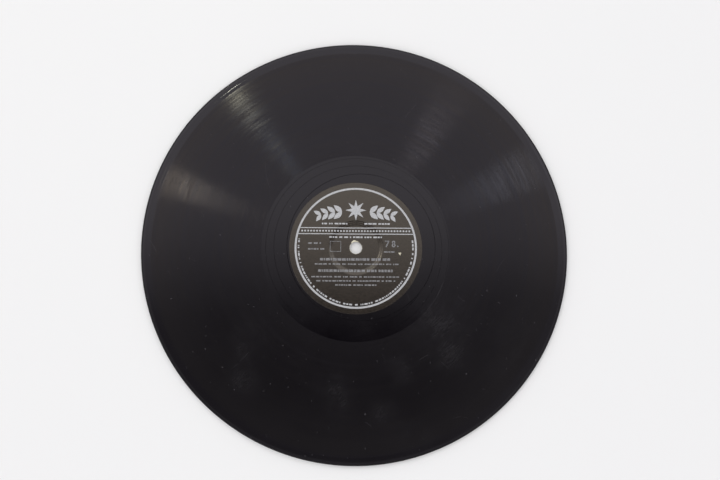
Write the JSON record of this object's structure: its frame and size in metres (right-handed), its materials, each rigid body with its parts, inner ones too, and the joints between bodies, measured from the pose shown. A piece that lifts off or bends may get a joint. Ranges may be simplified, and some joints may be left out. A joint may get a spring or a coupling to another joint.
{
  "type": "shellac record",
  "caption": "Flat round pressed record with a spiral groove, an off-centre stopping groove and a paper label round the spindle hole on each side, for playing on a gramophone turntable.",
  "frame": {"origin": "on the spindle hole's axis, at the plane of side 2's playing face, on which the record lies", "axes": "+Z along the spindle hole's axis out of side 1, +X to the right and +Y to the top of side 1's label as it is read"},
  "size_m": [0.25, 0.25, 0.0022],
  "materials": {
    "shellac": "pressed gloss",
    "label_paper": "satin"
  },
  "bodies": {
    "root": {"disc": "shellac", "label_side_1": "label_paper", "label_side_2": "label_paper"}
  },
  "joints": []
}
